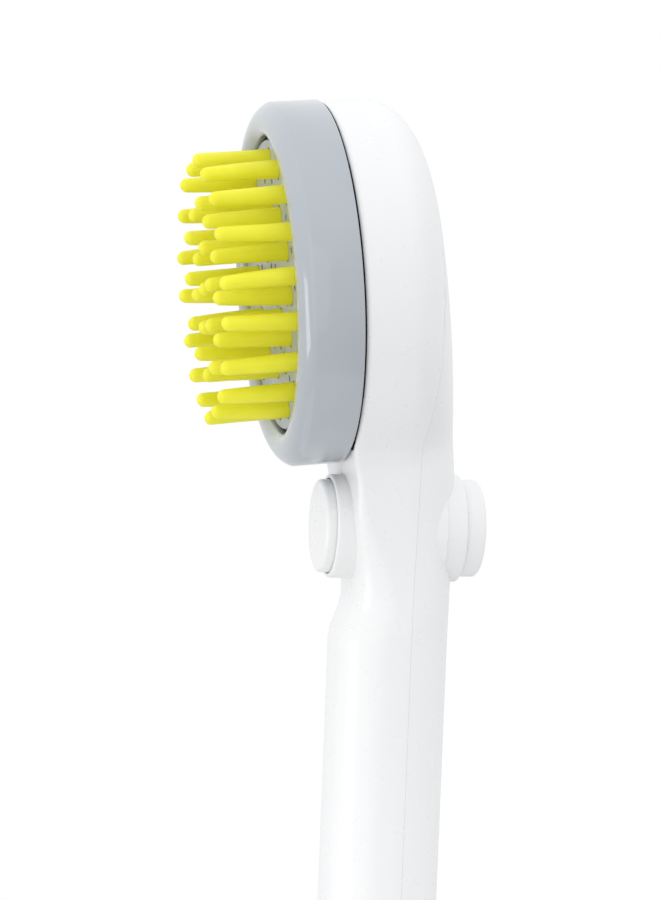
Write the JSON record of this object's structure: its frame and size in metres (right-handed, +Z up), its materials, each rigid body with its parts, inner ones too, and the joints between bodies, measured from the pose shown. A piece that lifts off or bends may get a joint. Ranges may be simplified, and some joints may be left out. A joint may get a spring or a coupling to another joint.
{
  "type": "handheld bath sprayer",
  "caption": "Handheld pet bath sprayer: a straight handle with a push-through shut-off valve and a tilted round spray head carrying soft silicone scrubbing fingers inside a bezel ring.",
  "frame": {"origin": "centre of the hose inlet's end face, on the handle's axis", "axes": "+Z up the handle towards the spray head, -Y the front (the fingers' side), +X across"},
  "size_m": [0.08, 0.0672, 0.2405],
  "materials": {
    "white_plastic": "smooth semi-gloss moulded plastic",
    "blue_grey_plastic": "polished opaque blue-grey plastic",
    "pale_grey_plastic": "smooth moulded plastic",
    "natural_plastic": "unpigmented moulded plastic",
    "lime_silicone": "soft satin silicone",
    "black_rubber": "seal rubber",
    "stainless_mesh": "perforated sheet"
  },
  "bodies": {
    "handle": {"front_casing": "white_plastic", "rear_casing": "white_plastic", "inlet_nipple": "natural_plastic", "inlet_screen": "stainless_mesh", "flow_regulator": "pale_grey_plastic", "lower_tube": "natural_plastic", "inlet_seal": "black_rubber", "lower_tube_seal": "black_rubber", "upper_tube": "natural_plastic", "upper_tube_seal": "black_rubber", "bowl_inlet_seal": "black_rubber", "valve_body": "natural_plastic", "water_bowl": "natural_plastic", "bowl_seal": "black_rubber", "diffuser_plate": "natural_plastic", "finger_pad": "lime_silicone", "face_plate": "pale_grey_plastic"},
    "valve_slide": {"valve_spool": "pale_grey_plastic", "spool_seal_front": "black_rubber", "spool_seal_middle": "black_rubber", "spool_seal_rear": "black_rubber", "front_button": "white_plastic", "rear_button": "white_plastic"},
    "ring": {"bezel_ring": "blue_grey_plastic"}
  },
  "joints": [
    {"name": "valve_push", "type": "slide", "parent": "handle", "child": "valve_slide", "axis": [0, -1, 0], "range_m": [0, 0.004]},
    {"name": "ring_twist", "type": "hinge", "parent": "handle", "child": "ring", "pos_m": [0, -0.0167, 0.2], "axis": [0, -0.9954, -0.0958], "range_deg": [0, 28]}
  ]
}
